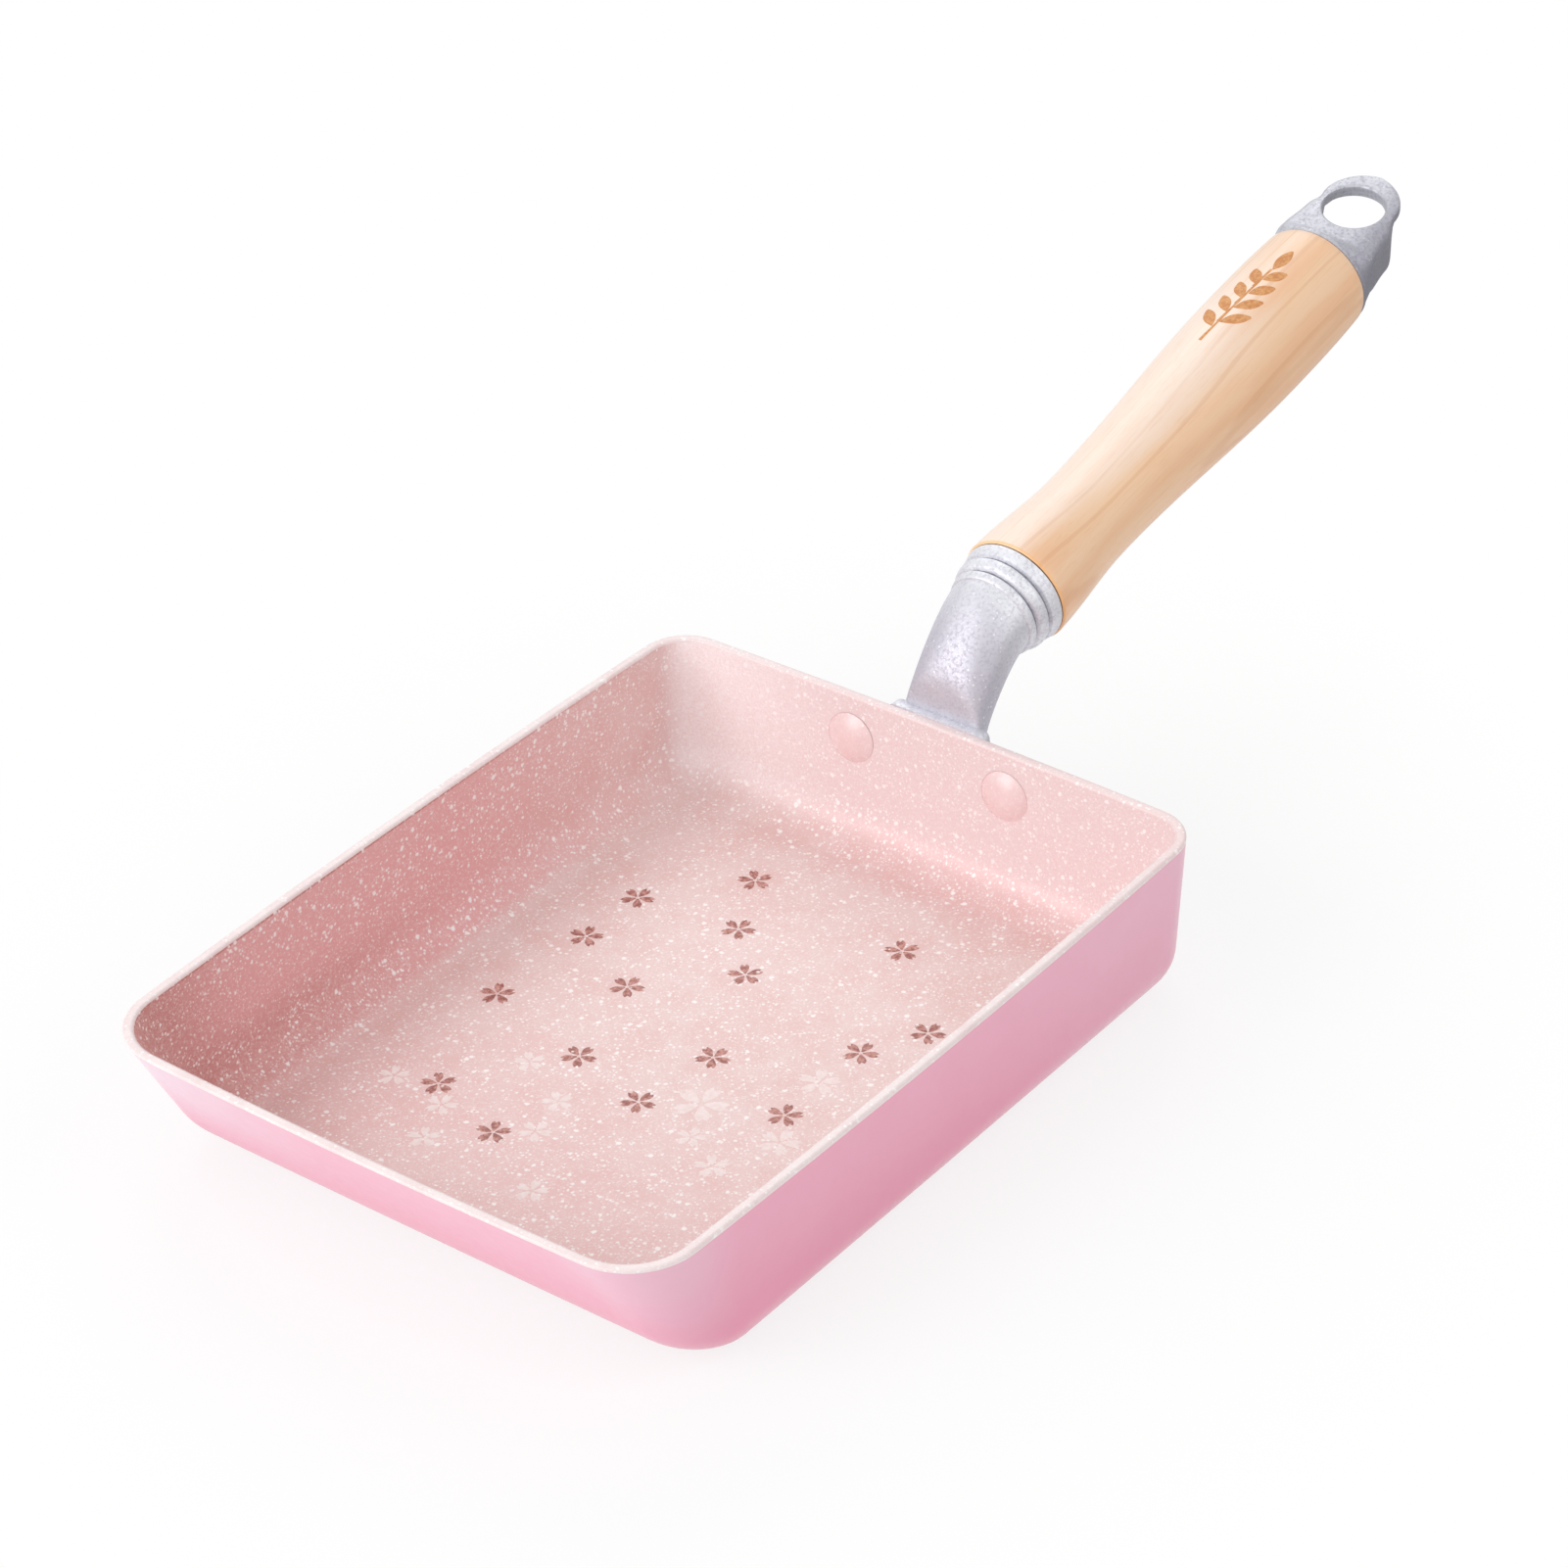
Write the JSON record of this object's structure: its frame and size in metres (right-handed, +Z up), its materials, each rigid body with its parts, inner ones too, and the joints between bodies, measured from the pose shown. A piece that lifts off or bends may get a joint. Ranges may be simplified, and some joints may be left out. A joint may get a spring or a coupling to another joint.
{
  "type": "tamagoyaki pan",
  "caption": "Rectangular rolled-omelette pan with a sloping front wall, a riveted cast elbow, a turned wooden grip and a cast end cap with a hanging hole.",
  "frame": {"origin": "on the plane of the underside's flat contact face, below the middle of the rim", "axes": "+Z up, +X from the pan towards the handle's hanging cap, +Y across the pan"},
  "size_m": [0.3497, 0.1366, 0.0903],
  "materials": {
    "pan_coating": "pink satin coating over aluminium, speckled inside",
    "rivet": "pink coated head, satin",
    "silver_casting": "sand-textured silver paint on a casting",
    "grip_wood": "pale clear-lacquered wood",
    "rod_steel": "zinc-plated steel"
  },
  "bodies": {
    "root": {"pan_body": "pan_coating", "rivet_left": "rivet", "rivet_right": "rivet", "handle_bracket": "silver_casting", "wood_grip": "grip_wood", "tie_rod": "rod_steel", "hanging_cap": "silver_casting"}
  },
  "joints": []
}
